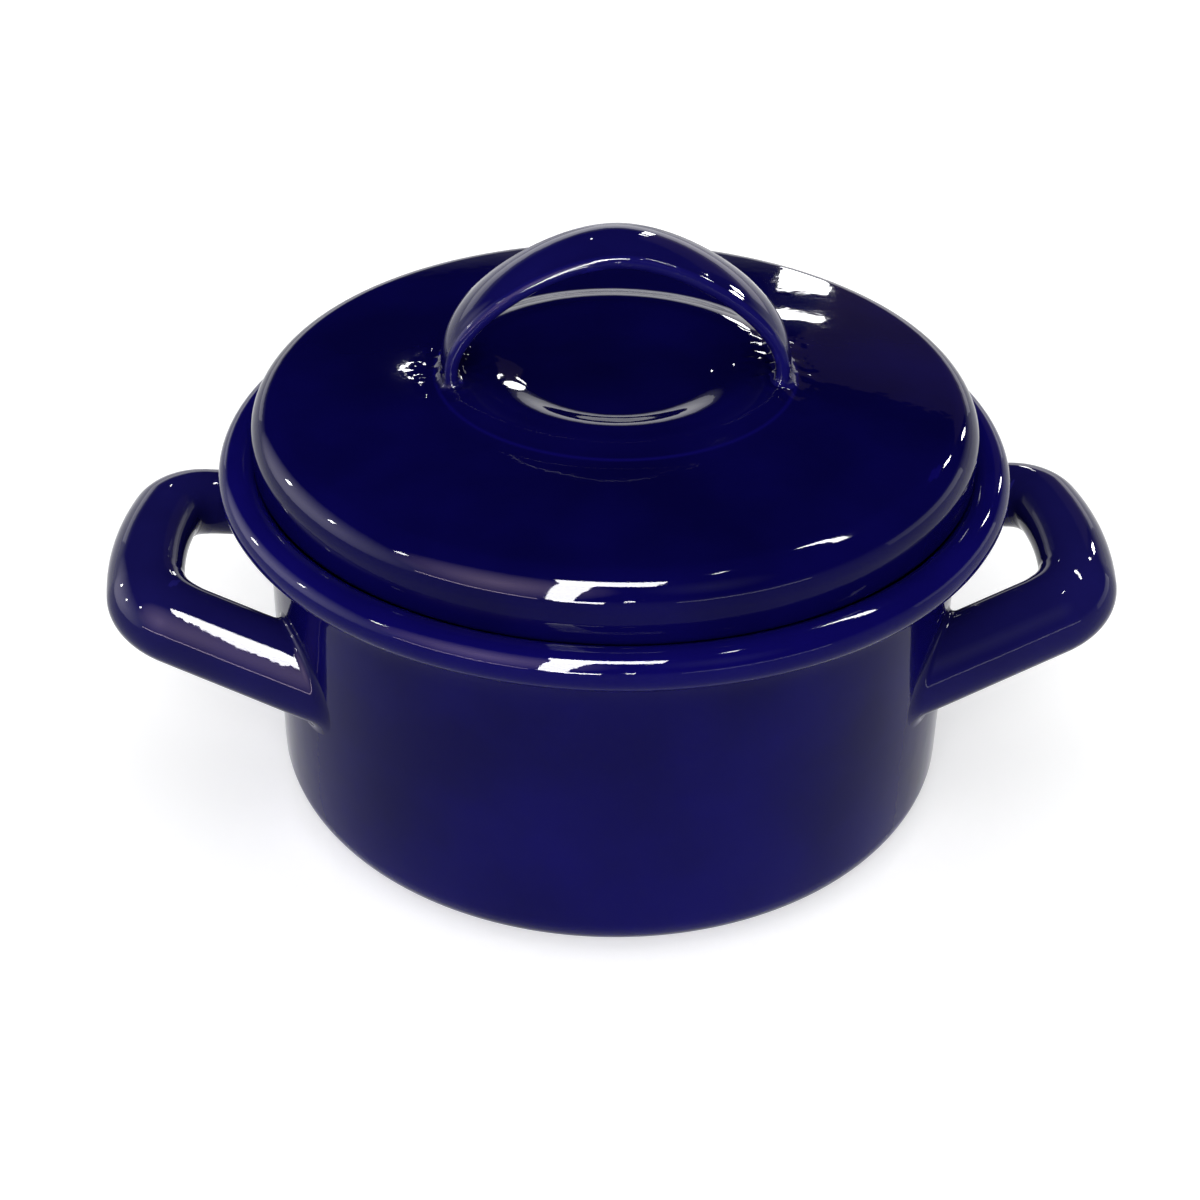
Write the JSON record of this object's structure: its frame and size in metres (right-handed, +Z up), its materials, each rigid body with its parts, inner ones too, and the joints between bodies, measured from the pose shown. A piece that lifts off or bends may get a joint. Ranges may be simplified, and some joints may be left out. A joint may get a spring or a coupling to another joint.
{
  "type": "mini enamel casserole pot",
  "caption": "Small round enamelled steel casserole pot with a rolled rim, loop side handles and a lift-off domed lid with a strap handle.",
  "frame": {"origin": "on the table under the middle of the pot, in the plane of the base ring", "axes": "+X through the two side handles, towards the right one; +Y from the front to the back; +Z up along the pot's axis"},
  "size_m": [0.1796, 0.137, 0.1025],
  "materials": {
    "enamel": "glossy vitreous enamel, cobalt blue"
  },
  "bodies": {
    "pot": {"pot_body": "enamel", "right_side_handle": "enamel", "left_side_handle": "enamel", "right_handle_front_weld": "enamel", "right_handle_rear_weld": "enamel", "left_handle_front_weld": "enamel", "left_handle_rear_weld": "enamel"},
    "lid": {"lid_shell": "enamel", "lid_handle": "enamel", "lid_handle_left_weld": "enamel", "lid_handle_right_weld": "enamel"}
  },
  "joints": [
    {"name": "lid_lift", "type": "slide", "parent": "pot", "child": "lid", "axis": [0, 0, 1], "range_m": [0, 0.08]}
  ]
}
